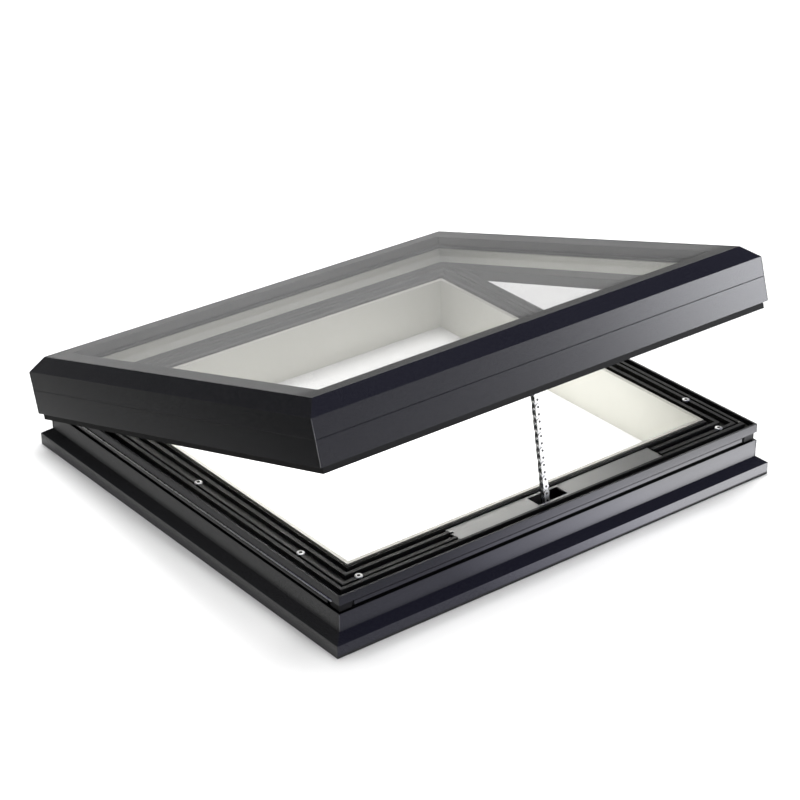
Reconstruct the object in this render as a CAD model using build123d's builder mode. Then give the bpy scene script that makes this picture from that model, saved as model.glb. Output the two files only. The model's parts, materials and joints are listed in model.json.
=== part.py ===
from build123d import *
import os
from math import ceil, cos, hypot, radians, sin

# Roof skylight: a glazed lid hinged at the rear of a base frame, held open by a chain from the front.
# X runs along the hinge, front at -Y, rear at +Y, Z up from the underside of the base. The origin is
# midway between the front flange and the rear edge of the open lid.

# Base profile of the frame: a flange, a weathering slope and a web.
base_length = 800.0
base_depth = 750.0
flange_height = 19.0
slope_rise = 10.0
web_inset = 14.0
web_height = 27.0
profile_width = 30.0
profile_wall = 2.5

# Black core profile between the aluminium and the liner, with a groove above the web.
groove_depth = 8.0
groove_height = 13.0
core_width = 40.0
core_wall = 2.5
core_shelf = 32.0
bead_depth = 1.5
bead_rise = 5.5
bead_height = 1.5

# Top rail above the groove.
rail_height = 13.5
rail_wall = 3.0
rail_foot_width = 10.0
rail_foot_wall = 3.0

# Ribbed top with four ridges, placed inwards from the face of the rail.
ribbed_wall = 6.0
ridge_height = 7.0
ridge_places = (13.0, 22.5, 39.0, 53.0)
ridge_widths = (5.5, 5.5, 5.5, 3.0)

# White liner round the daylight opening.
liner_wall = 6.0
liner_stand = 10.0

# Strip and corner keys in the groove.
strip_depth = 1.5
strip_wall = 2.5
strip_rise = 5.0
strip_drop = 1.6
strip_leg = 2.5
strip_left_gap = 3.0
strip_right_gap = 6.0
key_depth = 3.0
key_leg = 20.0
key_rise = 1.5
key_drop = 1.0

# Opener in the front side, with a flat cover and a slot for the chain.
cover_left_reach = 167.0
cover_right_reach = 211.0
cover_setback = 1.5
cover_width = 33.0
cover_lift = 3.0
cover_wall = 2.0
cover_notch_length = 5.0
cover_notch_width = 4.0
cover_notch_margin = 9.0
slot_left_reach = 22.0
slot_right_reach = 32.0
slot_front_margin = 5.5
slot_rear_margin = 4.0
housing_setback = 2.0
housing_wall = 2.0
cap_length = 6.0
pocket_play = 0.6
guide_half_length = 20.0
guide_lift = 6.0
guide_height = 17.0
guide_gap_length = 16.0
guide_gap_depth = 16.0

# Lid: heights from the skirt's lower edge, insets from the outer face of the skirt.
lid_overhang = 2.0
lid_overlap = 0.5
lid_opening = 17.0
skirt_top = 37.0
skirt_wall = 3.0
split_edge = 0.5
bevel_width = 20.0
bevel_rise = 19.5
bevel_land = 1.0
ledge_rise = 18.0
ledge_width = 23.0
sash_wall = 2.5
shelf_wall = 3.0
shelf_turn_drop = 3.0
shelf_turn_wall = 3.0
lip_top = 6.0
lip_drop = 10.0
lip_gap = 2.0
lip_wall = 2.0
lining_drop = 2.0
lining_wall = 4.0

# Seals and glass.
seal_outer_inset = 28.0
seal_width = 6.0
seal_play = 0.4
gasket_setback = 3.0
gasket_height = 2.5
pane_wall = 6.0
pane_gap = 16.0
pane_play = 0.4
spacer_width = 14.0

# Hinges between the rear rail and the skirt.
hinge_end = 170.0
hinge_drop = 1.0
hinge_length = 90.0
knuckle_gap = 1.5
knuckle_clear = 0.5
leaf_wall = 2.0
base_leaf_drop = 4.5
base_leaf_margin = 1.5
lid_leaf_bottom = 8.0
lid_leaf_height = 22.0
hinge_pin_radius = 2.0
hinge_play = 0.05

# Chain, its end fitting and the bracket on the lid.
exit_setback = 14.0
exit_drop = 3.0
pivot_reach = 6.0
pivot_drop = 7.0
chain_pitch = 10.7
link_width = 10.2
link_corner = 3.0
link_pin_sides = 6
roller_sides = 8
plate_wall = 1.0
inner_plate_start = 2.2
link_pin_radius = 1.8
link_pin_half = 4.8
roller_radius = 3.6
fitting_reach = 16.0
tongue_width = 8.0
tongue_half = 1.9
tongue_play = 0.1
eye_radius = 4.5
eye_half = 6.0
pivot_pin_radius = 2.5
pivot_pin_half = 14.0
pivot_head_radius = 4.0
pivot_head_wall = 2.5
pivot_play = 0.05
press_play = 0.02
ear_start = 8.0
ear_wall = 3.0
ear_radius = 4.5
ear_drop = 5.0
ear_lean = 4.0
bracket_half_length = 30.0
bracket_margin = 2.0
bracket_wall = 2.5

overrun = 5.0

# Base heights from the underside and insets from the outer face of the flange.
base_half_x = base_length / 2
base_half_y = base_depth / 2
slope_top = flange_height + slope_rise
web_top = slope_top + web_height
groove_inset = web_inset + groove_depth
groove_top = web_top + groove_height
core_inset = profile_width + core_width
bead_bottom = web_top + bead_rise
rail_top = groove_top + rail_height
rail_foot_inset = web_inset + rail_foot_width
rib_floor = groove_top + ribbed_wall
rib_top = rib_floor + ridge_height
strip_inset = web_inset + strip_depth
strip_top = groove_top - strip_drop
key_inset = web_inset + key_depth
strip_left = key_inset + key_leg + strip_left_gap - base_half_x
strip_right = base_half_x - key_inset - key_leg - strip_right_gap
cover_left = -cover_left_reach
cover_right = cover_right_reach
cover_outer_inset = profile_width + cover_setback
cover_inner_inset = cover_outer_inset + cover_width
cover_bottom = rib_floor + cover_lift
housing_inset = cover_outer_inset + housing_setback
exit_inset = cover_outer_inset + exit_setback
exit_z = groove_top - exit_drop
guide_bottom = core_shelf + guide_lift

# Lid heights and insets. The glass stack ends flush with the top of the bevel.
lid_half_x = base_half_x + lid_overhang
lid_half_y = base_half_y + lid_overhang
lid_closed_height = web_top - lid_overlap
ledge_height = skirt_top + ledge_rise
gasket_top = ledge_height + gasket_height
inner_pane_top = gasket_top + pane_wall
spacer_top = inner_pane_top + pane_gap
sash_top = spacer_top + pane_wall
sash_edge = sash_top - bevel_rise
rebate_inset = bevel_width + bevel_land
sash_inset = rebate_inset + ledge_width
shelf_bottom = skirt_top - shelf_wall
shelf_turn_bottom = shelf_bottom - shelf_turn_drop
lip_outer_inset = skirt_wall + lip_gap
lip_inner_inset = lip_outer_inset + lip_wall
lining_inset = sash_inset + lining_wall
lining_top = ledge_height - lining_drop
seal_bottom = rail_top - lid_closed_height + seal_play
gasket_outer_inset = rebate_inset + gasket_setback

# The hinge axis stands midway between the rail and the skirt, and the knuckles fill the room there.
hinge_room = web_inset + lid_overhang - skirt_wall
knuckle_radius = hinge_room / 2 - leaf_wall - knuckle_clear
knuckle_length = (hinge_length - 2 * knuckle_gap) / 3
hinge_y = base_half_y - web_inset + hinge_room / 2
hinge_z = groove_top - hinge_drop
hinge_offset = base_half_x - hinge_end

# Pivot of the chain under the front of the lid.
bracket_bottom = shelf_turn_bottom
bracket_top = lining_top - bracket_margin
pivot_inset = lining_inset + pivot_reach
pivot_height = bracket_bottom - pivot_drop

# The lid's own plane: its origin is the middle of the skirt's lower edge, turned open about the hinge.
opening_sin = sin(radians(lid_opening))
opening_cos = cos(radians(lid_opening))
lid_shift_y = hinge_y * (1 - opening_cos) + (lid_closed_height - hinge_z) * opening_sin
lid_lift_z = hinge_y * opening_sin + lid_closed_height * opening_cos + hinge_z * (1 - opening_cos)
lid_rear_reach = lid_shift_y + lid_half_y * opening_cos + sash_edge * opening_sin
base_y = (base_half_y - lid_rear_reach) / 2
base_home = Plane(origin=(0, base_y, 0))
lid_origin = (0, base_y + lid_shift_y, lid_lift_z)
lid_home = Plane(origin=lid_origin, x_dir=(1, 0, 0), z_dir=(0, opening_sin, opening_cos))

sides = {"front": (0, -1), "rear": (0, 1), "left": (-1, 0), "right": (1, 0)}

os.makedirs("parts", exist_ok=True)


def save(built, name):
    built.part.label = name
    export_step(built.part, "parts/" + name + ".step")


def section_plane(home, half_x, half_y, side):
    # Section of one side: x points inwards, y up, z along the side.
    out_x, out_y = sides[side]
    origin = home.from_local_coords(Vector(out_x * half_x, out_y * half_y, 0))
    inward = home.x_dir * -out_x + home.y_dir * -out_y
    return Plane(origin=origin, x_dir=inward, z_dir=inward.cross(home.z_dir))


def polygon(points, mode=Mode.ADD):
    Polygon(*points, align=None, mode=mode)


def mitred_side(home, half_x, half_y, side, outline, chambers=(), ridges=(), pocket=()):
    # One length of a profile, hollow where it has chambers, cut at 45 degrees at both corners.
    plane = section_plane(home, half_x, half_y, side)
    half = half_x if side in ("front", "rear") else half_y
    with BuildPart() as length:
        with BuildSketch(plane):
            polygon(outline)
            for ridge in ridges:
                polygon(ridge)
            for chamber in chambers:
                polygon(chamber, Mode.SUBTRACT)
        extrude(amount=half, both=True)
        for end in (1, -1):
            corner = plane.origin + plane.z_dir * (end * half)
            split(bisect_by=Plane(origin=corner, z_dir=plane.x_dir + plane.z_dir * end), keep=Keep.BOTTOM)
        if pocket:
            start, stop, outer, inner, bottom, top = pocket
            with BuildSketch(plane.offset(start)):
                polygon(box_points(outer, inner, bottom, top))
            extrude(amount=stop - start, mode=Mode.SUBTRACT)
    return length


def box_points(start, stop, bottom, top):
    return [(start, bottom), (start, top), (stop, top), (stop, bottom)]


def ring(home, half_x, half_y, outer, inner, bottom, top):
    with BuildPart() as frame:
        with BuildSketch(home.offset(bottom)):
            Rectangle(2 * (half_x - outer), 2 * (half_y - outer))
            Rectangle(2 * (half_x - inner), 2 * (half_y - inner), mode=Mode.SUBTRACT)
        extrude(amount=top - bottom)
    return frame


def pane(home, half_x, half_y, inset, bottom, top):
    with BuildPart() as sheet:
        with BuildSketch(home.offset(bottom)):
            Rectangle(2 * (half_x - inset), 2 * (half_y - inset))
        extrude(amount=top - bottom)
    return sheet


# Base profile: flange, weathering slope and web, with a toe chamber and a web chamber.
slope_rise_share = (slope_top - flange_height) / web_inset
slope_drop = profile_wall * hypot(1, slope_rise_share)
base_outline = [
    (0, 0),
    (0, flange_height),
    (web_inset, slope_top),
    (web_inset, web_top),
    (profile_width, web_top),
    (profile_width, 0),
]
toe_chamber = [
    (profile_wall, profile_wall),
    (profile_wall, flange_height + slope_rise_share * profile_wall - slope_drop),
    (web_inset, slope_top - slope_drop),
    (web_inset, profile_wall),
]
web_chamber = box_points(
    web_inset + profile_wall, profile_width - profile_wall, profile_wall, web_top - profile_wall
)

# Core profile: a black box section with a tongue that forms the back of the groove.
core_outline = [
    (groove_inset, web_top),
    (groove_inset, groove_top),
    (core_inset, groove_top),
    (core_inset, 0),
    (profile_width, 0),
    (profile_width, web_top),
]
core_chambers = [
    box_points(profile_width + core_wall, core_inset - core_wall, core_wall, core_shelf - core_wall),
    box_points(profile_width + core_wall, core_inset - core_wall, core_shelf, groove_top - core_wall),
    box_points(groove_inset + core_wall, profile_width, web_top + core_wall, groove_top - core_wall),
]
core_bead = box_points(groove_inset - bead_depth, groove_inset, bead_bottom, bead_bottom + bead_height)
core_pocket = (
    cover_left - pocket_play,
    cover_right + pocket_play,
    profile_width + core_wall,
    cover_inner_inset + pocket_play,
    core_shelf,
    groove_top + overrun,
)

rail_outline = [
    (web_inset, groove_top),
    (web_inset, rail_top),
    (web_inset + rail_wall, rail_top),
    (web_inset + rail_wall, groove_top + rail_foot_wall),
    (rail_foot_inset, groove_top + rail_foot_wall),
    (rail_foot_inset, groove_top),
]

# Ribbed top: a floor that laps over the rail's foot, with four ridges.
ribbed_outline = [
    (web_inset + rail_wall, groove_top + rail_foot_wall),
    (web_inset + rail_wall, rib_floor),
    (core_inset, rib_floor),
    (core_inset, groove_top),
    (rail_foot_inset, groove_top),
    (rail_foot_inset, groove_top + rail_foot_wall),
]
ribbed_ridges = []
ridge_foot = groove_top + rail_foot_wall
for ridge_place, ridge_width in zip(ridge_places, ridge_widths):
    ridge_start = web_inset + ridge_place
    ribbed_ridges.append(box_points(ridge_start, ridge_start + ridge_width, ridge_foot, rib_top))
ribbed_pocket = (
    cover_left - pocket_play,
    cover_right + pocket_play,
    cover_outer_inset - pocket_play,
    cover_inner_inset + pocket_play,
    groove_top - overrun,
    rib_top + overrun,
)

liner_outline = box_points(core_inset, core_inset + liner_wall, 0, rib_floor + liner_stand)

for side in sides:
    base_size = (base_home, base_half_x, base_half_y, side)
    core_cut = core_pocket if side == "front" else ()
    ribbed_cut = ribbed_pocket if side == "front" else ()
    save(mitred_side(*base_size, base_outline, [toe_chamber, web_chamber]), "base_profile_" + side)
    core = mitred_side(*base_size, core_outline, core_chambers, [core_bead], core_cut)
    save(core, "core_profile_" + side)
    save(mitred_side(*base_size, rail_outline), "top_rail_" + side)
    ribbed = mitred_side(*base_size, ribbed_outline, (), ribbed_ridges, ribbed_cut)
    save(ribbed, "ribbed_top_" + side)
    save(mitred_side(*base_size, liner_outline), "liner_" + side)

# Strip in the front groove: a face plate with a leg back to the core.
front_plane = section_plane(base_home, base_half_x, base_half_y, "front")
with BuildPart() as front_strip:
    with BuildSketch(front_plane.offset(strip_left)):
        polygon(box_points(strip_inset, strip_inset + strip_wall, web_top + strip_rise, strip_top))
        polygon(box_points(strip_inset, groove_inset, strip_top - strip_leg, strip_top))
    extrude(amount=strip_right - strip_left)
save(front_strip, "front_strip")

# Corner keys in the groove, one at each corner, against the bead of the core.
key_back = groove_inset - bead_depth
with BuildPart() as corner_keys:
    with BuildSketch(base_home.offset(web_top + key_rise)):
        Rectangle(2 * (base_half_x - key_inset), 2 * (base_half_y - key_inset))
        Rectangle(2 * (base_half_x - key_back), 2 * (base_half_y - key_back), mode=Mode.SUBTRACT)
        with GridLocations(2 * (base_half_x - key_inset), 2 * (base_half_y - key_inset), 2, 2):
            Rectangle(2 * key_leg, 2 * key_leg, mode=Mode.INTERSECT)
    extrude(amount=groove_height - key_rise - key_drop)
save(corner_keys, "corner_keys")

# Opener housing: a rectangular tube with the chain slot cut in its roof, closed by two caps.
with BuildPart() as opener_housing:
    with BuildSketch(front_plane.offset(cover_left + cap_length)):
        polygon(box_points(housing_inset, cover_inner_inset, core_shelf, cover_bottom))
        polygon(
            box_points(
                housing_inset + housing_wall,
                cover_inner_inset - housing_wall,
                core_shelf + housing_wall,
                cover_bottom - housing_wall,
            ),
            Mode.SUBTRACT,
        )
    extrude(amount=cover_right - cover_left - 2 * cap_length)
    with BuildSketch(front_plane.offset(-slot_left_reach)):
        polygon(
            box_points(
                housing_inset + housing_wall,
                cover_inner_inset - housing_wall,
                cover_bottom - housing_wall - overrun,
                cover_bottom + overrun,
            )
        )
    extrude(amount=slot_left_reach + slot_right_reach, mode=Mode.SUBTRACT)
save(opener_housing, "opener_housing")

for cap_name, cap_start in (("left", cover_left), ("right", cover_right - cap_length)):
    with BuildPart() as opener_cap:
        with BuildSketch(front_plane.offset(cap_start)):
            polygon(box_points(housing_inset, cover_inner_inset, core_shelf, cover_bottom))
        extrude(amount=cap_length)
    save(opener_cap, "opener_cap_" + cap_name)

# Cover strip with the chain slot and a notch at its left end.
with BuildPart() as opener_cover:
    with BuildSketch(front_plane.offset(cover_left)):
        polygon(box_points(cover_outer_inset, cover_inner_inset, cover_bottom, cover_bottom + cover_wall))
    extrude(amount=cover_right - cover_left)
    with BuildSketch(front_plane.offset(-slot_left_reach)):
        polygon(
            box_points(
                cover_outer_inset + slot_front_margin,
                cover_inner_inset - slot_rear_margin,
                cover_bottom - overrun,
                cover_bottom + overrun,
            )
        )
    extrude(amount=slot_left_reach + slot_right_reach, mode=Mode.SUBTRACT)
    with BuildSketch(front_plane.offset(cover_left - overrun)):
        polygon(
            box_points(
                cover_inner_inset - cover_notch_margin - cover_notch_width,
                cover_inner_inset - cover_notch_margin,
                cover_bottom - overrun,
                cover_bottom + overrun,
            )
        )
    extrude(amount=overrun + cover_notch_length, mode=Mode.SUBTRACT)
save(opener_cover, "opener_cover")

# Chain guide between the housing's walls, with the gap that the chain leaves by.
guide_y = base_y - base_half_y + (housing_inset + cover_inner_inset) / 2
guide_depth = cover_inner_inset - housing_inset - 2 * housing_wall
exit_y = base_y - base_half_y + exit_inset
with BuildPart() as chain_guide:
    with BuildSketch(Plane(origin=(0, guide_y, guide_bottom))):
        Rectangle(2 * guide_half_length, guide_depth)
    extrude(amount=guide_height)
    with BuildSketch(Plane(origin=(0, exit_y, guide_bottom))):
        Rectangle(guide_gap_length, guide_gap_depth)
    extrude(amount=guide_height, mode=Mode.SUBTRACT)
save(chain_guide, "chain_guide")

# Skirt profile of the lid: a skirt with a shelf that turns down at its inner edge.
skirt_outline = [
    (0, 0),
    (0, skirt_top - split_edge),
    (split_edge, skirt_top),
    (sash_inset, skirt_top),
    (sash_inset, shelf_turn_bottom),
    (sash_inset - shelf_turn_wall, shelf_turn_bottom),
    (sash_inset - shelf_turn_wall, shelf_bottom),
    (skirt_wall, shelf_bottom),
    (skirt_wall, 0),
]

# Sash profile of the lid: bevelled, hollow, with a rebate that the glass sits in.
bevel_rise_share = (sash_top - sash_edge) / bevel_width
bevel_drop = sash_wall * hypot(1, bevel_rise_share)
sash_outline = [
    (split_edge, skirt_top),
    (0, skirt_top + split_edge),
    (0, sash_edge),
    (bevel_width, sash_top),
    (rebate_inset, sash_top),
    (rebate_inset, ledge_height),
    (sash_inset, ledge_height),
    (sash_inset, skirt_top),
]
sash_rib = rebate_inset - sash_wall
sash_chambers = [
    [
        (sash_wall, skirt_top + sash_wall),
        (sash_wall, sash_edge + bevel_rise_share * sash_wall - bevel_drop),
        (sash_rib, sash_edge + bevel_rise_share * sash_rib - bevel_drop),
        (sash_rib, skirt_top + sash_wall),
    ],
    box_points(rebate_inset, sash_inset - sash_wall, skirt_top + sash_wall, ledge_height - sash_wall),
]

lip_outline = [
    (skirt_wall, 0),
    (skirt_wall, lip_top),
    (lip_inner_inset, lip_top),
    (lip_inner_inset, -lip_drop),
    (lip_outer_inset, -lip_drop),
    (lip_outer_inset, 0),
]
lining_outline = box_points(sash_inset, sash_inset + lining_wall, shelf_turn_bottom, lining_top)

for side in sides:
    lid_size = (lid_home, lid_half_x, lid_half_y, side)
    save(mitred_side(*lid_size, skirt_outline), "skirt_" + side)
    save(mitred_side(*lid_size, sash_outline, sash_chambers), "sash_" + side)
    save(mitred_side(*lid_size, lip_outline), "lip_" + side)
    save(mitred_side(*lid_size, lining_outline), "lining_" + side)

# Seals and the sealed glass unit, stacked on the ledge up to the top of the bevel.
lid_plan = (lid_home, lid_half_x, lid_half_y)
seal_inner_inset = seal_outer_inset + seal_width
spacer_inner_inset = gasket_outer_inset + spacer_width
save(ring(*lid_plan, seal_outer_inset, seal_inner_inset, seal_bottom, shelf_bottom), "lid_seal")
save(ring(*lid_plan, gasket_outer_inset, lining_inset, ledge_height, gasket_top), "glazing_gasket")
save(pane(*lid_plan, gasket_outer_inset, gasket_top, inner_pane_top), "inner_pane")
save(ring(*lid_plan, gasket_outer_inset, spacer_inner_inset, inner_pane_top, spacer_top), "pane_spacer")
save(pane(*lid_plan, rebate_inset + pane_play, spacer_top, sash_top), "outer_pane")

# Hinges: two base knuckles and one lid knuckle turn on each pin.
hinge_plane = Plane(origin=(0, base_y + hinge_y, hinge_z), x_dir=(0, 1, 0), z_dir=(1, 0, 0))
lid_axis_point = lid_home.from_local_coords(Vector(0, hinge_y, hinge_z - lid_closed_height))
lid_hinge_plane = Plane(origin=lid_axis_point, x_dir=lid_home.y_dir, z_dir=(1, 0, 0))
rail_face = base_half_y - web_inset - hinge_y
skirt_face = lid_half_y - skirt_wall - hinge_y
knuckle_hole = hinge_pin_radius + hinge_play
lid_axis_height = hinge_z - lid_closed_height
base_leaf_top = rail_top - base_leaf_margin - hinge_z

with BuildPart() as hinge_base_leaves:
    for centre in (-hinge_offset, hinge_offset):
        with BuildSketch(hinge_plane.offset(centre - hinge_length / 2)):
            polygon(box_points(rail_face, rail_face + leaf_wall, -base_leaf_drop, base_leaf_top))
        extrude(amount=hinge_length)
        for start in (centre - hinge_length / 2, centre + hinge_length / 2 - knuckle_length):
            with BuildSketch(hinge_plane.offset(start)):
                Circle(knuckle_radius)
                polygon(box_points(rail_face, 0, 0, knuckle_radius))
            extrude(amount=knuckle_length)
        with BuildSketch(hinge_plane.offset(centre - hinge_length / 2)):
            Circle(knuckle_hole)
        extrude(amount=hinge_length, mode=Mode.SUBTRACT)
save(hinge_base_leaves, "hinge_base_leaves")

with BuildPart() as hinge_lid_leaves:
    for centre in (-hinge_offset, hinge_offset):
        with BuildSketch(lid_hinge_plane.offset(centre - hinge_length / 2)):
            polygon(
                box_points(
                    skirt_face - leaf_wall,
                    skirt_face,
                    lid_leaf_bottom - lid_axis_height,
                    lid_leaf_bottom + lid_leaf_height - lid_axis_height,
                )
            )
        extrude(amount=hinge_length)
        with BuildSketch(lid_hinge_plane.offset(centre - knuckle_length / 2)):
            Circle(knuckle_radius)
            polygon(box_points(0, skirt_face, 0, knuckle_radius))
            Circle(knuckle_hole, mode=Mode.SUBTRACT)
        extrude(amount=knuckle_length)
save(hinge_lid_leaves, "hinge_lid_leaves")

with BuildPart() as hinge_pins:
    with BuildSketch(hinge_plane.offset(-hinge_offset - hinge_length / 2)):
        Circle(hinge_pin_radius)
    extrude(amount=hinge_length)
    with BuildSketch(hinge_plane.offset(hinge_offset - hinge_length / 2)):
        Circle(hinge_pin_radius)
    extrude(amount=hinge_length)
save(hinge_pins, "hinge_pins")

# Chain: it stands from the exit to the pivot under the lid, with its link pins along the depth.
pivot_point = lid_home.from_local_coords(Vector(0, -lid_half_y + pivot_inset, pivot_height))
chain_rise = pivot_point.Z - exit_z
chain_run = pivot_point.Y - exit_y
chain_span = hypot(chain_rise, chain_run)
chain_up = Vector(0, chain_run / chain_span, chain_rise / chain_span)
link_axis = Vector(0, chain_up.Z, -chain_up.Y)
top_link_pin = pivot_point - chain_up * fitting_reach
chain_plane = Plane(origin=top_link_pin, x_dir=(1, 0, 0), z_dir=link_axis)
chain_links = ceil((chain_span - fitting_reach) / chain_pitch)
outer_plate_start = inner_plate_start + plate_wall

inner_link_places = []
outer_link_places = []
for link in range(chain_links):
    place = (0, (link + 1 / 2) * chain_pitch)
    if link % 2 == 0:
        inner_link_places.append(place)
    else:
        outer_link_places.append(place)
link_pin_places = [(0, link * chain_pitch) for link in range(chain_links + 1)]

# Each plate is a strip with cut corners round its two pins.
link_half_width = link_width / 2
link_half_length = chain_pitch / 2 + link_half_width
link_outline = []
for turn_x, turn_y in ((1, 1), (-1, 1), (-1, -1), (1, -1)):
    side_point = (turn_x * link_half_width, turn_y * (link_half_length - link_corner))
    end_point = (turn_x * (link_half_width - link_corner), turn_y * link_half_length)
    link_outline.extend([side_point, end_point] if turn_x == turn_y else [end_point, side_point])

with BuildPart() as drive_chain:
    for level in (inner_plate_start, -outer_plate_start):
        with BuildSketch(chain_plane.offset(level)):
            with Locations(*inner_link_places):
                polygon(link_outline)
        extrude(amount=plate_wall)
    for level in (outer_plate_start, -outer_plate_start - plate_wall):
        with BuildSketch(chain_plane.offset(level)):
            with Locations(*outer_link_places):
                polygon(link_outline)
        extrude(amount=plate_wall)
    with BuildSketch(chain_plane.offset(-inner_plate_start)):
        with Locations(*link_pin_places[1:]):
            RegularPolygon(roller_radius, roller_sides)
    extrude(amount=2 * inner_plate_start)
    with BuildSketch(chain_plane.offset(-link_pin_half)):
        with Locations(*link_pin_places):
            RegularPolygon(link_pin_radius, link_pin_sides)
    extrude(amount=2 * link_pin_half)
save(drive_chain, "drive_chain")

# End fitting: a tongue between the last link's plates, with an eye that turns on the pivot pin.
pivot_plane = Plane(origin=pivot_point, x_dir=(0, 1, 0), z_dir=(1, 0, 0))
with BuildPart() as chain_end:
    with BuildSketch(chain_plane.offset(-tongue_half)):
        with Locations((0, -fitting_reach / 2)):
            SlotCenterToCenter(fitting_reach, tongue_width, rotation=90)
        Circle(link_pin_radius + tongue_play, mode=Mode.SUBTRACT)
    extrude(amount=2 * tongue_half)
    with BuildSketch(pivot_plane.offset(-eye_half)):
        Circle(eye_radius)
    extrude(amount=2 * eye_half)
    with BuildSketch(pivot_plane.offset(-eye_half)):
        Circle(pivot_pin_radius + pivot_play)
    extrude(amount=2 * eye_half, mode=Mode.SUBTRACT)
save(chain_end, "chain_end")

with BuildPart() as pivot_pin:
    with BuildSketch(pivot_plane.offset(-pivot_pin_half)):
        Circle(pivot_pin_radius)
    extrude(amount=2 * pivot_pin_half)
    for start in (-pivot_pin_half, pivot_pin_half - pivot_head_wall):
        with BuildSketch(pivot_plane.offset(start)):
            Circle(pivot_head_radius)
        extrude(amount=pivot_head_wall)
save(pivot_pin, "pivot_pin")

# Bracket on the front lining: a plate with two ears that hold the pivot pin.
lid_front_plane = section_plane(lid_home, lid_half_x, lid_half_y, "front")
ear_outline = [
    (lining_inset, bracket_top - ear_drop),
    (lining_inset + bracket_wall, bracket_top - ear_drop),
    (pivot_inset + ear_lean, pivot_height),
    (pivot_inset, pivot_height - ear_lean),
    (lining_inset + bracket_wall, pivot_height),
    (lining_inset, bracket_bottom),
]
with BuildPart() as lid_bracket:
    with BuildSketch(lid_front_plane.offset(-bracket_half_length)):
        polygon(box_points(lining_inset, lining_inset + bracket_wall, bracket_bottom, bracket_top))
    extrude(amount=2 * bracket_half_length)
    for start in (ear_start, -ear_start - ear_wall):
        with BuildSketch(lid_front_plane.offset(start)):
            polygon(ear_outline)
            with Locations((pivot_inset, pivot_height)):
                Circle(ear_radius)
                Circle(pivot_pin_radius + press_play, mode=Mode.SUBTRACT)
        extrude(amount=ear_wall)
save(lid_bracket, "lid_bracket")
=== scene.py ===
import json
import math

import bpy
from mathutils import Matrix, Vector


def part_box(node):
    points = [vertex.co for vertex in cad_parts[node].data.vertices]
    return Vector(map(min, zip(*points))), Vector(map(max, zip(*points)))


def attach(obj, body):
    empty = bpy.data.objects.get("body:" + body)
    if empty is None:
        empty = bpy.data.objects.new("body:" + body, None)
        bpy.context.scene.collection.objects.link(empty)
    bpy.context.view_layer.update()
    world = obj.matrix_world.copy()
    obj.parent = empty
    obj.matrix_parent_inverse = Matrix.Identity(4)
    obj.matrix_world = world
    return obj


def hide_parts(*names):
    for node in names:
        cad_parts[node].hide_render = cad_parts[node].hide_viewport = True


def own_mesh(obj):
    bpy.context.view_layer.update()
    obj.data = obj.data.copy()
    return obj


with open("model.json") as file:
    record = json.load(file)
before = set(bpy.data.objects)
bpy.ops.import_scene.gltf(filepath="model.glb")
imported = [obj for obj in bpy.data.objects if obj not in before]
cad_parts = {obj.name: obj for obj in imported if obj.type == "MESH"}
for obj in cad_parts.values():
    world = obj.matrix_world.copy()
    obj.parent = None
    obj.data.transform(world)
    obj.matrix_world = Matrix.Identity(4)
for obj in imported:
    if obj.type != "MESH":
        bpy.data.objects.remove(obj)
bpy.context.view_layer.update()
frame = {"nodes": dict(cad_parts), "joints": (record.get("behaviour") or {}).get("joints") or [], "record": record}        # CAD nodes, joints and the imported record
print("frame loaded,", len(frame["nodes"]), "nodes")

joints = {joint["name"]: joint for joint in frame["joints"]}
openAngle = math.radians(-min(joints["lid_hinge"]["range_deg"]))   # how far the lid stands open
lidRight = Vector((1, 0, 0))
lidBack = Vector((0, math.cos(openAngle), -math.sin(openAngle)))
lidUp = Vector((0, math.sin(openAngle), math.cos(openAngle)))
bothSides = (-1, 1)
quarterTurn = math.pi / 2
smoothAngle = math.radians(30)       # edges sharper than this stay sharp


def nodeSpan(node, axis):
    # lowest and highest reach of a CAD node along an axis
    reach = [vert.co.dot(axis) for vert in frame["nodes"][node].data.vertices]
    return min(reach), max(reach)


def lidSpan(front, rear):
    # between two CAD nodes of the lid: the middle at the foot of the front one, and the half sizes
    lowX, highX = nodeSpan(front, lidRight)
    lowBack = nodeSpan(front, lidBack)[0]
    highBack = nodeSpan(rear, lidBack)[1]
    middle = lidRight * (lowX + highX) / 2 + lidBack * (lowBack + highBack) / 2
    foot = nodeSpan(front, lidUp)[0]
    return middle + lidUp * foot, (highX - lowX) / 2, (highBack - lowBack) / 2


def baseSpan():
    # middle of the base frame on the floor, and its half sizes along X and Y
    low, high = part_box("base_profile_front")
    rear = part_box("base_profile_rear")[1]
    middle = Vector(((low.x + high.x) / 2, (low.y + rear.y) / 2, 0))
    return middle, (high.x - low.x) / 2, (rear.y - low.y) / 2


def standAt(across, back, up, place):
    # stands what was made at the origin on three axes at a place
    return Matrix.Translation(place) @ Matrix((across, back, up)).transposed().to_4x4()


# modelling helpers

def enterEdit():
    bpy.ops.object.mode_set(mode="EDIT")


def leaveEdit():
    bpy.ops.object.mode_set(mode="OBJECT")


def clearSelection():
    if bpy.context.object and bpy.context.object.mode != "OBJECT":
        leaveEdit()
    bpy.ops.object.select_all(action="DESELECT")


def takeUp(*pieces):
    clearSelection()
    for piece in pieces:
        piece.select_set(True)
    bpy.context.view_layer.objects.active = pieces[0]


def applyPlace():
    bpy.ops.object.transform_apply(location=True, rotation=True, scale=True)


def namePiece(name):
    piece = bpy.context.object
    piece.name = name
    piece.data.name = name
    applyPlace()
    return piece


def pickAll():
    enterEdit()
    bpy.ops.mesh.select_all(action="SELECT")


def pickNone(kind):
    enterEdit()
    bpy.ops.mesh.select_mode(type=kind)
    bpy.ops.mesh.select_all(action="DESELECT")
    leaveEdit()


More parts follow.
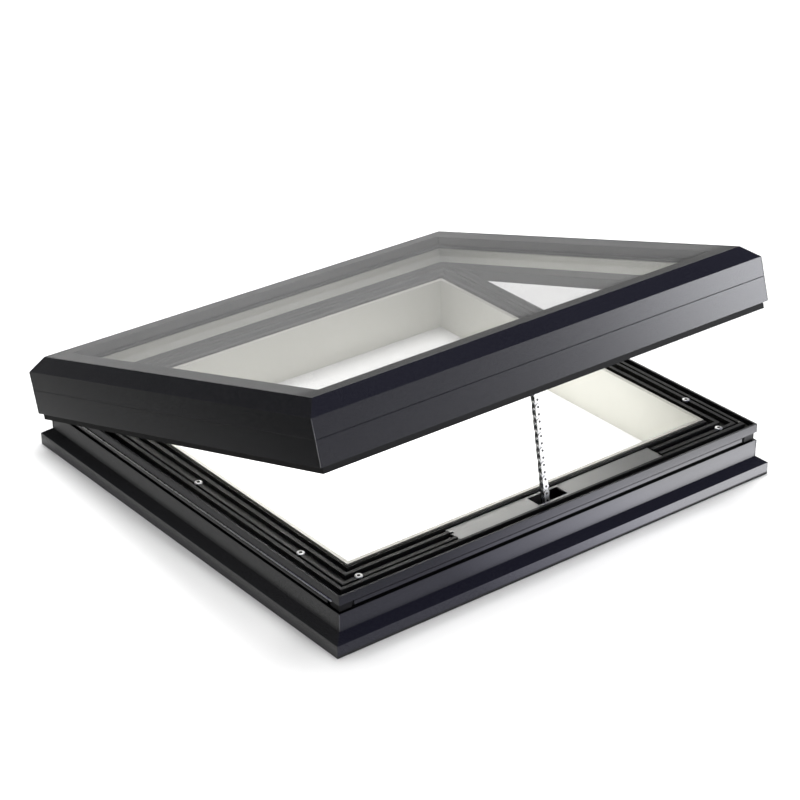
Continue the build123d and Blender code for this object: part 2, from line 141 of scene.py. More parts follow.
def pickEdges(piece, wanted):
    pickNone("EDGE")
    verts = piece.data.vertices
    for edge in piece.data.edges:
        edge.select = wanted(*[verts[index].co for index in edge.vertices])
    enterEdit()


def pickVerts(piece, wanted):
    pickNone("VERT")
    for vert in piece.data.vertices:
        vert.select = wanted(vert.co)
    enterEdit()


def applyModifier(piece, kind, **settings):
    takeUp(piece)
    modifier = piece.modifiers.new(kind.lower(), kind)
    for key, value in settings.items():
        setattr(modifier, key, value)
    bpy.ops.object.modifier_apply(modifier=modifier.name)


def copyPiece(piece, shift):
    takeUp(piece)
    bpy.ops.object.duplicate(linked=False)
    twin = bpy.context.object
    twin.location = twin.location + Vector(shift)
    applyPlace()
    return twin


def joinPieces(pieces, name):
    takeUp(*pieces)
    bpy.ops.object.join()
    joined = bpy.context.object
    joined.name = name
    joined.data.name = name
    return joined


def dropPiece(piece):
    takeUp(piece)
    bpy.ops.object.delete()


def repeatAt(piece, places, name):
    # copies of one piece at several places, joined
    copies = [copyPiece(piece, place) for place in places]
    dropPiece(piece)
    return joinPieces(copies, name)


def repeatDown(piece, count, step):
    applyModifier(piece, "ARRAY", count=count, use_relative_offset=False, use_constant_offset=True,
                  constant_offset_displace=(0, 0, -step))


def setPiece(piece, stand):
    takeUp(piece)
    piece.matrix_world = stand
    applyPlace()
    bpy.ops.object.shade_smooth_by_angle(angle=smoothAngle)


def makeRound(name, radius, length, edge, sides):
    # a turned piece along Y with rounded ends
    clearSelection()
    bpy.ops.mesh.primitive_cylinder_add(
        vertices=sides, radius=radius, depth=length, rotation=(quarterTurn, 0, 0))
    turned = namePiece(name)
    pickEdges(turned, lambda a, b: a.y * b.y > 0)
    bpy.ops.mesh.bevel(offset=edge, segments=2)
    leaveEdit()
    return turned


# finishes

shadeMark = "paintedShade"                      # face attribute: 1 where painted shade darkens the steel
noiseLow, noiseHigh = 0.3, 0.7       # most of the noise lies between these
flatCosine, edgeCosine = 0.985, 0.8  # between a face and its rounding, on the flat and on an edge
edgeSamples = 6


def newFinish(name):
    finish = bpy.data.materials.new(name)
    finish.use_nodes = True
    return finish, finish.node_tree, finish.node_tree.nodes["Principled BSDF"]


def grain(tree, scale, detail, stretch=(1, 1, 1)):
    # noise fixed to the object, stretched where a finish was drawn or brushed
    place = tree.nodes.new("ShaderNodeTexCoord")
    turn = tree.nodes.new("ShaderNodeMapping")
    noise = tree.nodes.new("ShaderNodeTexNoise")
    turn.inputs["Scale"].default_value = stretch
    noise.inputs["Scale"].default_value = scale
    noise.inputs["Detail"].default_value = detail
    tree.links.new(place.outputs["Object"], turn.inputs["Vector"])
    tree.links.new(turn.outputs["Vector"], noise.inputs["Vector"])
    return noise.outputs["Fac"]


def tones(tree, source, dark, light):
    ramp = tree.nodes.new("ShaderNodeValToRGB")
    ramp.color_ramp.elements[0].position = noiseLow
    ramp.color_ramp.elements[0].color = (*dark, 1)
    ramp.color_ramp.elements[1].position = noiseHigh
    ramp.color_ramp.elements[1].color = (*light, 1)
    tree.links.new(source, ramp.inputs["Fac"])
    return ramp.outputs["Color"]


def spread(tree, source, low, high, fromLow=noiseLow, fromHigh=noiseHigh):
    mapped = tree.nodes.new("ShaderNodeMapRange")
    mapped.inputs["From Min"].default_value = fromLow
    mapped.inputs["From Max"].default_value = fromHigh
    mapped.inputs["To Min"].default_value = low
    mapped.inputs["To Max"].default_value = high
    tree.links.new(source, mapped.inputs["Value"])
    return mapped.outputs["Result"]


def toneSteps(tree, source, stops, tint=(1, 1, 1)):
    # tones in steps, each at its own value of the source
    low, high = stops[0][0], stops[-1][0]
    ramp = tree.nodes.new("ShaderNodeValToRGB")
    steps = ramp.color_ramp.elements
    while len(steps) < len(stops):
        steps.new(0.5)
    for step, (place, tone) in zip(steps, stops):
        step.position = (place - low) / (high - low)
        step.color = (*[tone * share for share in tint], 1)
    tree.links.new(spread(tree, source, 0.0, 1.0, low, high), ramp.inputs["Fac"])
    return ramp.outputs["Color"]


def roundedEdge(tree, radius):
    edge = tree.nodes.new("ShaderNodeBevel")
    edge.samples = edgeSamples
    edge.inputs["Radius"].default_value = radius
    return edge.outputs["Normal"]


def edgeShare(tree, rounded):
    # 0 on a flat face, 1 on the rounding of an edge
    face = tree.nodes.new("ShaderNodeNewGeometry")
    along = tree.nodes.new("ShaderNodeVectorMath")
    along.operation = "DOT_PRODUCT"
    tree.links.new(rounded, along.inputs[0])
    tree.links.new(face.outputs["Normal"], along.inputs[1])
    return spread(tree, along.outputs["Value"], 0.0, 1.0, flatCosine, edgeCosine)


def setTones(tree, shader, source, dark, light):
    tree.links.new(tones(tree, source, dark, light), shader.inputs["Base Color"])


def setPaintedLightAndWear(tree, shader, base, lightAndWearTone, share):
    # a second tone over the base, by its share: painted highlight and wear on edges, painted shade on
    # marked faces
    both = tree.nodes.new("ShaderNodeMix")
    both.data_type = "RGBA"
    both.inputs["B"].default_value = (*lightAndWearTone, 1)
    tree.links.new(share, both.inputs["Factor"])
    tree.links.new(base, both.inputs["A"])
    tree.links.new(both.outputs["Result"], shader.inputs["Base Color"])


def setRoughness(tree, shader, source, low, high):
    tree.links.new(spread(tree, source, low, high), shader.inputs["Roughness"])


def setGrain(tree, shader, source, strength, depth, rounded=None):
    bump = tree.nodes.new("ShaderNodeBump")
    bump.inputs["Strength"].default_value = strength
    bump.inputs["Distance"].default_value = depth
    tree.links.new(source, bump.inputs["Height"])
    if rounded is not None:
        tree.links.new(rounded, bump.inputs["Normal"])
    tree.links.new(bump.outputs["Normal"], shader.inputs["Normal"])


def anthraciteCoat():
    finish, tree, shader = newFinish("anthraciteCoat")
    rounded = roundedEdge(tree, radius=0.0004)
    speckle = grain(tree, scale=2600, detail=2.0)
    drift = grain(tree, scale=9, detail=3.0)
    coat = tones(tree, drift, dark=(0.0081, 0.0081, 0.0099), light=(0.0093, 0.0093, 0.0114))
    # lighter edges along the rounding: partly edge wear, partly a painted highlight
    setPaintedLightAndWear(tree, shader, coat, lightAndWearTone=(0.030, 0.030, 0.034), share=edgeShare(tree, rounded))
    setRoughness(tree, shader, speckle, low=0.24, high=0.30)
    setGrain(tree, shader, speckle, strength=0.02, depth=0.0002, rounded=rounded)
    return finish


def blackPlastic():
    finish, tree, shader = newFinish("blackPlastic")
    rounded = roundedEdge(tree, radius=0.0006)
    speckle = grain(tree, scale=1800, detail=2.0)
    drift = grain(tree, scale=60, detail=3.0)
    body = tones(tree, drift, dark=(0.0085, 0.0085, 0.0070), light=(0.0125, 0.0125, 0.0103))
    # lighter edges along the rounding: partly edge wear, partly a painted highlight
    setPaintedLightAndWear(tree, shader, body, lightAndWearTone=(0.032, 0.032, 0.028), share=edgeShare(tree, rounded))
    setRoughness(tree, shader, speckle, low=0.42, high=0.56)
    setGrain(tree, shader, speckle, strength=0.15, depth=0.0002, rounded=rounded)
    return finish


def whiteLining():
    finish, tree, shader = newFinish("whiteLining")
    rounded = roundedEdge(tree, radius=0.0006)
    drift = grain(tree, scale=7, detail=3.0)
    speckle = grain(tree, scale=1200, detail=2.0)
    setTones(tree, shader, drift, dark=(0.58, 0.576, 0.520), light=(0.61, 0.606, 0.550))
    setRoughness(tree, shader, speckle, low=0.40, high=0.52)
    setGrain(tree, shader, speckle, strength=0.06, depth=0.0001, rounded=rounded)
    return finish


def satinAluminium(name, dark, light):
    finish, tree, shader = newFinish(name)
    rounded = roundedEdge(tree, radius=0.0003)
    brushed = grain(tree, scale=900, detail=4.0, stretch=(0.02, 1, 1))
    setTones(tree, shader, brushed, dark, light)
    setRoughness(tree, shader, brushed, low=0.30, high=0.44)
    shader.inputs["Metallic"].default_value = 1.0
    setGrain(tree, shader, brushed, strength=0.08, depth=0.0001, rounded=rounded)
    return finish


def brightSteel():
    finish, tree, shader = newFinish("brightSteel")
    rounded = roundedEdge(tree, radius=0.0002)
    clouds = grain(tree, scale=160, detail=4.0)
    setTones(tree, shader, clouds, dark=(0.66, 0.66, 0.65), light=(0.82, 0.82, 0.81))
    setRoughness(tree, shader, clouds, low=0.24, high=0.36)
    shader.inputs["Metallic"].default_value = 1.0
    setGrain(tree, shader, clouds, strength=0.05, depth=0.0001, rounded=rounded)
    return finish


def steelWithPaintedShade():
    # bright steel, made darker on the faces marked for painted shade
    finish, tree, shader = newFinish("steelWithPaintedShade")
    clouds = grain(tree, scale=160, detail=4.0)
    paintedShade = tree.nodes.new("ShaderNodeAttribute")
    paintedShade.attribute_name = shadeMark
    bright = tones(tree, clouds, dark=(0.70, 0.70, 0.69), light=(0.86, 0.86, 0.85))
    # painted shade on the marked faces
    setPaintedLightAndWear(tree, shader, bright, lightAndWearTone=(0.09, 0.09, 0.085), share=paintedShade.outputs["Fac"])
    setRoughness(tree, shader, clouds, low=0.26, high=0.36)
    shader.inputs["Metallic"].default_value = 1.0
    setGrain(tree, shader, clouds, strength=0.05, depth=0.0001)
    return finish


def blackRubber():
    finish, tree, shader = newFinish("blackRubber")
    rounded = roundedEdge(tree, radius=0.0005)
    pores = grain(tree, scale=1500, detail=3.0)
    drift = grain(tree, scale=25, detail=2.0)
    setTones(tree, shader, drift, dark=(0.007, 0.007, 0.007), light=(0.010, 0.010, 0.009))
    setRoughness(tree, shader, pores, low=0.55, high=0.70)
    shader.inputs["Specular IOR Level"].default_value = 0.2
    setGrain(tree, shader, pores, strength=0.15, depth=0.0002, rounded=rounded)
    return finish


def blackEnamel():
    finish, tree, shader = newFinish("blackEnamel")
    clouds = grain(tree, scale=14, detail=4.0)
    screen = grain(tree, scale=2200, detail=1.0)
    setTones(tree, shader, clouds, dark=(0.042, 0.042, 0.042), light=(0.050, 0.050, 0.050))
    setRoughness(tree, shader, screen, low=0.45, high=0.60)
    shader.inputs["Specular IOR Level"].default_value = 0.0
    setGrain(tree, shader, screen, strength=0.05, depth=0.0001)
    return finish


glassIor = 1.5
glassShine = 0.40        # share of the full Fresnel reflection


def clearGlass():
    # outer faces reflect by Fresnel, the rest bends and tints what is seen through it
    finish, tree, shader = newFinish("clearGlass")
    tree.nodes.remove(shader)
    bent = tree.nodes.new("ShaderNodeBsdfRefraction")
    shine = tree.nodes.new("ShaderNodeBsdfGlossy")
    fresnel = tree.nodes.new("ShaderNodeFresnel")
    face = tree.nodes.new("ShaderNodeNewGeometry")
    outside = tree.nodes.new("ShaderNodeMath")
    share = tree.nodes.new("ShaderNodeMath")
    seen = tree.nodes.new("ShaderNodeMixShader")
    bent.inputs["IOR"].default_value = glassIor
    bent.inputs["Roughness"].default_value = 0.0
    fresnel.inputs["IOR"].default_value = glassIor
    outside.operation = "SUBTRACT"
    outside.inputs[0].default_value = 1.0
    share.operation = "MULTIPLY"
    film = grain(tree, scale=5, detail=4.0)
    tint = tones(tree, film, dark=(0.859, 0.858, 0.857), light=(0.867, 0.866, 0.865))
    reflected = spread(tree, fresnel.outputs["Fac"], 0.0, glassShine, 0.0, 1.0)
    tree.links.new(tint, bent.inputs["Color"])
    setRoughness(tree, shine, film, low=0.02, high=0.03)
    tree.links.new(face.outputs["Backfacing"], outside.inputs[1])
    tree.links.new(reflected, share.inputs[0])
    tree.links.new(outside.outputs["Value"], share.inputs[1])
    tree.links.new(share.outputs["Value"], seen.inputs["Fac"])
    tree.links.new(bent.outputs["BSDF"], seen.inputs[1])
    tree.links.new(shine.outputs["BSDF"], seen.inputs[2])
    # light from the lamps and from lit walls goes straight through
    path = tree.nodes.new("ShaderNodeLightPath")
    lit = tree.nodes.new("ShaderNodeMath")
    straight = tree.nodes.new("ShaderNodeBsdfTransparent")
    both = tree.nodes.new("ShaderNodeMixShader")
    lit.operation = "MAXIMUM"
    clear = tones(tree, film, dark=(0.94, 0.94, 0.94), light=(0.95, 0.95, 0.95))
    tree.links.new(path.outputs["Is Shadow Ray"], lit.inputs[0])
    tree.links.new(path.outputs["Is Diffuse Ray"], lit.inputs[1])
    tree.links.new(clear, straight.inputs["Color"])
    tree.links.new(lit.outputs["Value"], both.inputs["Fac"])
    tree.links.new(seen.outputs["Shader"], both.inputs[1])
    tree.links.new(straight.outputs["BSDF"], both.inputs[2])
    tree.links.new(both.outputs["Shader"], tree.nodes["Material Output"].inputs["Surface"])
    return finish


finishes = {
    "coated_aluminium": anthraciteCoat(),
    "black_plastic": blackPlastic(),
    "white_lining": whiteLining(),
    "satin_aluminium": satinAluminium("satinAluminium", (0.33, 0.33, 0.32), (0.38, 0.38, 0.37)),
    "bright_steel": brightSteel(),
    "black_rubber": blackRubber(),
    "glass": clearGlass(),
}
shadedSteel = steelWithPaintedShade()
enamel = blackEnamel()
rubbedEdge = satinAluminium("rubbedEdge", (0.13, 0.13, 0.13), (0.16, 0.16, 0.16))


def dressNode(node, finish):
    slots = frame["nodes"][node].material_slots
    if not slots:
        frame["nodes"][node].data.materials.append(finish)
    for slot in slots:
        slot.material = finish


def dressPiece(piece, finish, body):
    piece.data.materials.clear()
    piece.data.materials.append(finish)
    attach(piece, body)


# marks the faces that get painted shade
def markPaintedShade(piece, wanted):
    paintedShade = piece.data.attributes.new(shadeMark, "FLOAT", "FACE")
    for face in piece.data.polygons:
        paintedShade.data[face.index].value = 1.0 if wanted(face) else 0.0


for subpart in frame["record"]["subparts"]:
    dressNode(subpart["node"], finishes[subpart["material_slot"]])
dressNode("corner_keys", finishes["black_rubber"])      # a duller black than the ribbed tops
print("finishes set on the CAD nodes")

# black enamel printed round the edge of the outer pane, on its inner face
fritBand = {"innerHalfX": 0.3515, "edgeGap": 0.0004, "lift": 0.00005, "wall": 0.0003}


def makeFritBand():
    middle, paneX, paneBack = lidSpan("outer_pane", "outer_pane")
    halfX = paneX - fritBand["edgeGap"]
    halfBack = paneBack - fritBand["edgeGap"]
    clearSelection()
    bpy.ops.mesh.primitive_plane_add(size=2)
    band = namePiece("fritBand")
    pickAll()
    bpy.ops.transform.resize(value=(halfX, halfBack, 1))
    bpy.ops.mesh.inset(thickness=halfX - fritBand["innerHalfX"])
    bpy.ops.mesh.delete(type="FACE")
    leaveEdit()
    applyModifier(band, "SOLIDIFY", thickness=fritBand["wall"], offset=1)
    setPiece(band, standAt(lidRight, lidBack, lidUp, middle + lidUp * fritBand["lift"]))
    dressPiece(band, enamel, "lid")


makeFritBand()
print("enamel band made")

# drive chain: inner and outer links in turn, with rollers and riveted pins.
# starts are in pitches below the top pin, zones in shares of half a pitch
chain = {
    "pitch": 0.0107, "links": 19, "fitting": 0.016,
    "plateWidth": 0.0102, "plateWall": 0.001, "plateSides": 24, "edge": 0.00015,
    "waistZone": 0.125, "waistDraw": 0.0013, "shoulderZone": 0.75, "shoulderDraw": 0.0007,
    "innerLevel": 0.0027, "innerStart": 0.5, "outerLevel": 0.0037, "outerStart": 1.5,
    "pinRadius": 0.0018, "pinLength": 0.0096, "pinSides": 16, "rivet": 0.0005,
    "rollerRadius": 0.0036, "rollerLength": 0.0042, "rollerSides": 20,
    "flatCosine": 0.9, "keep": 0.04, "drawIn": 0.012,
}


def makeLinkPlate():
    sides = chain["plateSides"]
    half = chain["pitch"] / 2
    waist, shoulder = half * chain["waistZone"], half * chain["shoulderZone"]
    clearSelection()
    bpy.ops.mesh.primitive_circle_add(
        vertices=sides, radius=chain["plateWidth"] / 2, fill_type="NGON",
        rotation=(quarterTurn, math.pi / sides, 0))
    plate = namePiece("linkPlate")
    pickVerts(plate, lambda co: co.z > 0)
    bpy.ops.transform.translate(value=(0, 0, half))
    pickVerts(plate, lambda co: co.z < 0)
    bpy.ops.transform.translate(value=(0, 0, -half))
    # one long edge is drawn in to a waist, the other stays straight as the chain's stiff back
    pickEdges(plate, lambda a, b: a.z * b.z < 0)
    bpy.ops.mesh.subdivide(number_cuts=3)
    pickVerts(plate, lambda co: co.x > 0 and abs(co.z) < waist)
    bpy.ops.transform.translate(value=(-chain["waistDraw"], 0, 0))
    pickVerts(plate, lambda co: co.x > 0 and waist < abs(co.z) < shoulder)
    bpy.ops.transform.translate(value=(-chain["shoulderDraw"], 0, 0))
    leaveEdit()
    applyModifier(plate, "SOLIDIFY", thickness=chain["plateWall"], offset=0)
    applyModifier(plate, "BEVEL", width=chain["edge"], segments=1, limit_method="ANGLE")
    return plate


def makeChain():
    pitch = chain["pitch"]
    plate = makeLinkPlate()
    rows = []
    for kind in ("inner", "outer"):
        level, start = chain[kind + "Level"], chain[kind + "Start"]
        for side in bothSides:
            row = copyPiece(plate, (0, side * level, -start * pitch))
            repeatDown(row, math.ceil((chain["links"] - start) / 2), 2 * pitch)
            rows.append(row)
    dropPiece(plate)
    pins = makeRound(
        "linkPins", chain["pinRadius"], chain["pinLength"], chain["rivet"], chain["pinSides"])
    repeatDown(pins, chain["links"] + 1, pitch)
    roller = makeRound(
        "rollers", chain["rollerRadius"], chain["rollerLength"], chain["edge"], chain["rollerSides"])
    rollers = copyPiece(roller, (0, 0, -pitch))
    dropPiece(roller)
    repeatDown(rollers, chain["links"], pitch)
    links = joinPieces([*rows, pins, rollers], "chainLinks")
    # painted shade on the sides, rollers and pin ends: only the flats of the plates stay bright
    plateFace = chain["outerLevel"] + chain["plateWall"]
    markPaintedShade(links, lambda face: (
        abs(face.normal.y) < chain["flatCosine"] or abs(face.center.y) > plateFace))
    # the chain leans as far as the pivot's coupling leaves of the lid's angle
    lean = openAngle * (1 + frame["record"]["behaviour"]["couplings"][0]["ratio"])
    up = Vector((0, math.sin(lean), math.cos(lean)))
    depth = Vector((0, math.cos(lean), -math.sin(lean)))
    topPin = Vector(joints["chain_end_pivot"]["pos_m"]) - up * chain["fitting"]
    setPiece(links, standAt(lidRight, depth, up, topPin))
    dressPiece(links, shadedSteel, "base")
    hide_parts("drive_chain")
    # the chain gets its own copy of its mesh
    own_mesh(links)


makeChain()
print("chain made")

# socket screws in the wide channel of the ribbed tops
baseScrews = {
    "radius": 0.0058, "height": 0.0024, "edge": 0.0006, "sides": 32,
    "socket": 0.0027, "deep": 0.0021, "socketSides": 6,
    "inset": 0.0415, "sideY": (-0.239, 0.005), "endX": 0.333, "floor": 0.0803,
}


def makeScrew(name, size):
    top = size["height"]
    clearSelection()
    bpy.ops.mesh.primitive_cylinder_add(
        vertices=size["sides"], radius=size["radius"], depth=top, location=(0, 0, top / 2))
    screw = namePiece(name)
    pickEdges(screw, lambda a, b: min(a.z, b.z) > top / 2)
    bpy.ops.mesh.bevel(offset=size["edge"], segments=3)
    leaveEdit()
    clearSelection()
    bpy.ops.mesh.primitive_cylinder_add(
        vertices=size["socketSides"], radius=size["socket"], depth=2 * size["deep"],
        location=(0, 0, top))
    cutter = namePiece(name + "Cutter")
    applyModifier(screw, "BOOLEAN", operation="DIFFERENCE", object=cutter, solver="EXACT")
    dropPiece(cutter)
    # painted shade inside the hex socket
    markPaintedShade(screw, lambda face: face.center.xy.length < size["socket"] and face.center.z < top)
    return screw


def makeBaseScrews():
    middle, halfX, halfY = baseSpan()
    reachX, reachY = halfX - baseScrews["inset"], halfY - baseScrews["inset"]
    spots = [(side * reachX, along) for side in bothSides for along in baseScrews["sideY"]]
    spots += [(side * baseScrews["endX"], -reachY) for side in bothSides]
    places = [middle + Vector((x, y, baseScrews["floor"])) for x, y in spots]
    screws = repeatAt(makeScrew("baseScrew", baseScrews), places, "baseScrews")
    setPiece(screws, Matrix.Identity(4))
    dressPiece(screws, shadedSteel, "base")


makeBaseScrews()
print("screws made")

# bare metal beads: under the side rails, and on the mitres of the web and the lid
railBeads = {
    "radius": 0.0013, "edge": 0.0003, "sides": 12, "inset": 0.0135, "height": 0.0695, "endGap": 0.016,
}
webBeads = {
    "radius": 0.0008, "edge": 0.0002, "sides": 12, "inset": 0.0140, "low": 0.0295, "high": 0.0555,
}
lidBeads = {
    "radius": 0.0005, "edge": 0.0002, "sides": 12, "inset": 0.0001, "low": 0.0005, "high": 0.0655,
}


def makeMitres(name, size, halfX, halfY):
    # one upright bead at each of the four corners
    length = size["high"] - size["low"]
    bead = makeRound(name + "One", size["radius"], length, size["edge"], size["sides"])
    setPiece(bead, Matrix.Rotation(quarterTurn, 4, "X"))
    reachX, reachY = halfX - size["inset"], halfY - size["inset"]
    height = size["low"] + length / 2
    places = [(x * reachX, y * reachY, height) for x in bothSides for y in bothSides]
    return repeatAt(bead, places, name)


def makeBaseBeads():
    middle, halfX, halfY = baseSpan()
    length = 2 * (halfY - railBeads["inset"] - railBeads["endGap"])
    bead = makeRound("railBead", railBeads["radius"], length, railBeads["edge"], railBeads["sides"])
    reachX = halfX - railBeads["inset"]
    places = [middle + Vector((side * reachX, 0, railBeads["height"])) for side in bothSides]
    rails = repeatAt(bead, places, "railBeads")
    setPiece(rails, Matrix.Identity(4))
    dressPiece(rails, finishes["bright_steel"], "base")
    webs = makeMitres("webBeads", webBeads, halfX, halfY)
    setPiece(webs, Matrix.Translation(middle))
    dressPiece(webs, rubbedEdge, "base")


def makeLidBeads():
    middle, halfX, halfBack = lidSpan("skirt_front", "skirt_rear")
    corners = makeMitres("lidBeads", lidBeads, halfX, halfBack)
    setPiece(corners, standAt(lidRight, lidBack, lidUp, middle))
    dressPiece(corners, rubbedEdge, "lid")


makeBaseBeads()
makeLidBeads()
print("edge beads made")

# coated strips in the grooves of the two sides, like the front one
sideStrips = {
    "inset": 0.0155, "wall": 0.0025, "low": 0.0595, "high": 0.0655, "keyRoom": 0.042, "edge": 0.0004,
}


def makeSideStrips():
    middle, halfX, halfY = baseSpan()
    length = 2 * (halfY - sideStrips["keyRoom"])
    clearSelection()
    bpy.ops.mesh.primitive_cube_add(size=1)
    strip = namePiece("sideStrip")
    pickAll()
    bpy.ops.transform.resize(
        value=(sideStrips["wall"], length, sideStrips["high"] - sideStrips["low"]))
    bpy.ops.mesh.bevel(offset=sideStrips["edge"], segments=2)
    leaveEdit()
    reachX = halfX - sideStrips["inset"] - sideStrips["wall"] / 2
    height = (sideStrips["low"] + sideStrips["high"]) / 2
    places = [middle + Vector((side * reachX, 0, height)) for side in bothSides]
    strips = repeatAt(strip, places, "sideStrips")
    setPiece(strips, Matrix.Identity(4))
    dressPiece(strips, finishes["coated_aluminium"], "base")


makeSideStrips()
print("side strips made")

# rubber cord in the joint between the front strip and the rail above it; its black also stands in for
# the joint's shadow line, a painted shadow
stripCord = {"radius": 0.0011, "edge": 0.0003, "sides": 12, "stand": 0.0005, "endGap": 0.001}


def makeStripCord():
    low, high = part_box("front_strip")
    radius = stripCord["radius"]
    length = high.x - low.x - 2 * stripCord["endGap"]
    cord = makeRound("stripCord", radius, length, stripCord["edge"], stripCord["sides"])
    place = Vector(((low.x + high.x) / 2, low.y - stripCord["stand"] + radius, high.z))
    setPiece(cord, Matrix.Translation(place) @ Matrix.Rotation(quarterTurn, 4, "Z"))
    dressPiece(cord, finishes["black_rubber"], "base")


makeStripCord()
print("strip cord made")

# pale floor and soft studio light
floorSheet = {
    "size": 24.0, "dark": (0.88, 0.88, 0.88), "light": (0.90, 0.90, 0.90),
    "grainScale": 3, "grainDetail": 2.0, "roughness": 0.9, "specular": 0.1,
}


def makeFloor():
    clearSelection()
    bpy.ops.mesh.primitive_plane_add(size=floorSheet["size"])
    floor = namePiece("studioFloor")
    finish, tree, shader = newFinish("palePaper")
    paper = grain(tree, floorSheet["grainScale"], floorSheet["grainDetail"])
    setTones(tree, shader, paper, floorSheet["dark"], floorSheet["light"])
    shader.inputs["Roughness"].default_value = floorSheet["roughness"]
    shader.inputs["Specular IOR Level"].default_value = floorSheet["specular"]
    floor.data.materials.append(finish)


# world: bright at the horizon, dark just above it and softer overhead.
# reflections see a cooler one towards the front
skyTones = [(-1.0, 0.50), (0.0, 0.50), (0.04, 0.20), (0.10, 0.015), (0.35, 0.015), (0.55, 0.04),
            (0.66, 0.28), (1.0, 0.28)]
frontSky = {
    "tones": [(-1.0, 0.40), (0.0, 0.40), (0.04, 0.16), (0.10, 0.026), (0.35, 0.026), (0.6, 0.12),
              (1.0, 0.12)],
    "tint": (1.0, 1.0, 2.20), "from": 0.1, "to": 0.6,
}


def makeSky():
    world = bpy.data.worlds.new("softStudio")
    bpy.context.scene.world = world
    world.use_nodes = True
    tree = world.node_tree
    place = tree.nodes.new("ShaderNodeTexCoord")
    parts = tree.nodes.new("ShaderNodeSeparateXYZ")
    path = tree.nodes.new("ShaderNodeLightPath")
    cool = tree.nodes.new("ShaderNodeMath")
    both = tree.nodes.new("ShaderNodeMix")
    cool.operation = "MULTIPLY"
    both.data_type = "RGBA"
    tree.links.new(place.outputs["Generated"], parts.inputs["Vector"])
    front = spread(tree, parts.outputs["Y"], 1.0, 0.0, frontSky["from"], frontSky["to"])
    plain = toneSteps(tree, parts.outputs["Z"], skyTones)
    tinted = toneSteps(tree, parts.outputs["Z"], frontSky["tones"], frontSky["tint"])
    tree.links.new(front, cool.inputs[0])
    tree.links.new(path.outputs["Is Glossy Ray"], cool.inputs[1])
    tree.links.new(cool.outputs["Value"], both.inputs["Factor"])
    tree.links.new(plain, both.inputs["A"])
    tree.links.new(tinted, both.inputs["B"])
    tree.links.new(both.outputs["Result"], tree.nodes["Background"].inputs["Color"])


# cards on the floor: bright towards the right in front of the base, dim to its left
floorGlow = {
    "low": (-0.45, -0.80), "high": (0.60, -0.386), "lift": 0.002, "power": 8.0,
    "left": (0.92, 0.92, 1.14), "right": (0.97, 0.97, 1.02),
    "alongX": [(-0.45, 0.085), (-0.15, 0.13), (0.0, 0.32), (0.2, 0.75), (0.4, 0.88), (0.60, 0.80)],
    "alongY": [(-0.60, 0.30), (-0.47, 0.46), (-0.43, 1.0), (-0.386, 1.0)],
}
floorShade = {
    "low": (-1.50, -0.50), "high": (-0.41, 1.00), "lift": 0.002, "power": 0.70,
    "left": (0.99, 0.99, 1.0), "right": (1.0, 1.0, 0.99),
    "alongX": [(-1.50, 0.0), (-0.78, 0.0), (-0.50, 0.50), (-0.41, 1.0)],
    "alongY": [(-0.50, 1.0), (1.00, 1.0)],
}


def makeFloorCard(name, card):
    # only reflections see it, shaded along X and Y
    lowX, lowY = card["low"]
    highX, highY = card["high"]
    clearSelection()
    bpy.ops.mesh.primitive_plane_add(size=1)
    sheet = bpy.context.object
    sheet.scale = (highX - lowX, highY - lowY, 1)
    sheet.location = ((lowX + highX) / 2, (lowY + highY) / 2, card["lift"])
    sheet = namePiece(name)
    finish, tree, shader = newFinish(name)
    tree.nodes.remove(shader)
    glow = tree.nodes.new("ShaderNodeEmission")
    place = tree.nodes.new("ShaderNodeTexCoord")
    parts = tree.nodes.new("ShaderNodeSeparateXYZ")
    both = tree.nodes.new("ShaderNodeMath")
    both.operation = "MULTIPLY"
    tree.links.new(place.outputs["Object"], parts.inputs["Vector"])
    across = spread(tree, parts.outputs["X"], 0.0, 1.0, lowX, highX)
    tint = tones(tree, across, card["left"], card["right"])
    alongX = toneSteps(tree, parts.outputs["X"], card["alongX"])
    alongY = toneSteps(tree, parts.outputs["Y"], card["alongY"])
    tree.links.new(tint, glow.inputs["Color"])
    tree.links.new(alongX, both.inputs[0])
    tree.links.new(spread(tree, alongY, 0.0, card["power"], 0.0, 1.0), both.inputs[1])
    tree.links.new(both.outputs["Value"], glow.inputs["Strength"])
    tree.links.new(glow.outputs["Emission"], tree.nodes["Material Output"].inputs["Surface"])
    sheet.data.materials.append(finish)
    sheet.visible_camera = False
    sheet.visible_diffuse = False
    sheet.visible_shadow = False
    sheet.visible_transmission = False


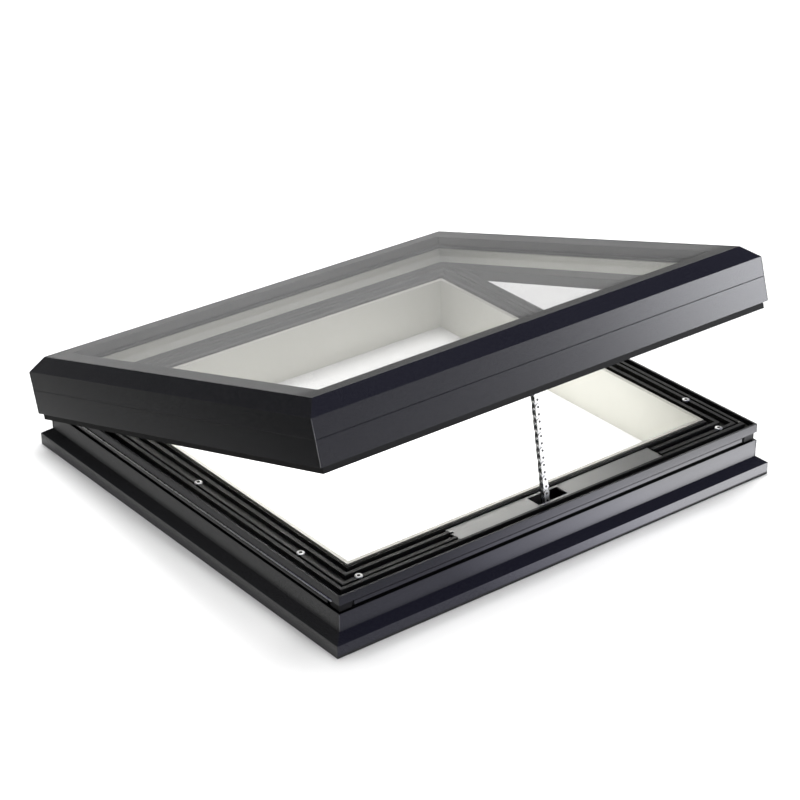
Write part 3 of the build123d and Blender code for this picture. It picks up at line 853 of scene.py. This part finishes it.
softDome = {"direction": (-0.14, -0.20, -1), "strength": 4.4, "angle": 34}
frontCard = {
    "place": (2.28, -1.85, 0.40), "target": (0.35, -0.3, 0.3), "size": (1.2, 0.9),
    "power": 42, "colour": (0.95, 0.96, 1.0), "glossy": True, "diffuse": False,
}
rearCard = {
    "place": (2.0, 2.2, 1.65), "target": (0, -0.2, 0.1), "size": (1.5, 1.2),
    "power": 12, "colour": (1, 1, 0.98), "glossy": True, "diffuse": True,
}
insideFill = {
    "place": (0, -0.01, 0.125), "target": (0, -0.01, 0), "size": (0.56, 0.45),
    "power": 1.35, "colour": (1, 1, 1), "glossy": False, "diffuse": True,
}


def hangLamp(name, data, direction):
    lamp = bpy.data.objects.new(name, data)
    bpy.context.scene.collection.objects.link(lamp)
    lamp.rotation_euler = direction.to_track_quat("-Z", "Y").to_euler()
    lamp.visible_camera = False
    return lamp


def addSun(name, sun):
    data = bpy.data.lights.new(name, "SUN")
    data.energy = sun["strength"]
    data.angle = math.radians(sun["angle"])
    lamp = hangLamp(name, data, Vector(sun["direction"]))
    lamp.visible_glossy = False


def addAreaLight(name, card):
    data = bpy.data.lights.new(name, "AREA")
    data.shape = "RECTANGLE"
    data.size, data.size_y = card["size"]
    data.energy = card["power"]
    data.color = card["colour"]
    lamp = hangLamp(name, data, Vector(card["target"]) - Vector(card["place"]))
    lamp.location = card["place"]
    lamp.visible_glossy = card["glossy"]
    lamp.visible_diffuse = card["diffuse"]


makeFloor()
makeSky()
makeFloorCard("floorGlow", floorGlow)
makeFloorCard("floorShade", floorShade)
addSun("softDome", softDome)
addAreaLight("frontCard", frontCard)
addAreaLight("rearCard", rearCard)
addAreaLight("insideFill", insideFill)
print("floor and lights set")

# camera at the photograph's angle, for a square picture
camera = {
    "place": (-1.94368, -2.47100, 1.73084), "turn": -38.28, "tilt": 27.48,
    "lens": 106.97, "sensor": 36.0,
}


def makeCamera():
    turn = math.radians(camera["turn"])
    tilt = math.radians(camera["tilt"])
    level = math.cos(tilt)
    back = Vector((math.sin(turn) * level, -math.cos(turn) * level, math.sin(tilt)))
    data = bpy.data.cameras.new("photoCamera")
    data.lens = camera["lens"]
    data.sensor_width = camera["sensor"]
    shot = bpy.data.objects.new("photoCamera", data)
    bpy.context.scene.collection.objects.link(shot)
    shot.location = camera["place"]
    shot.rotation_euler = (-back).to_track_quat("-Z", "Y").to_euler()
    bpy.context.scene.camera = shot


makeCamera()
bpy.context.scene.view_settings.view_transform = "Standard"
print("camera set")
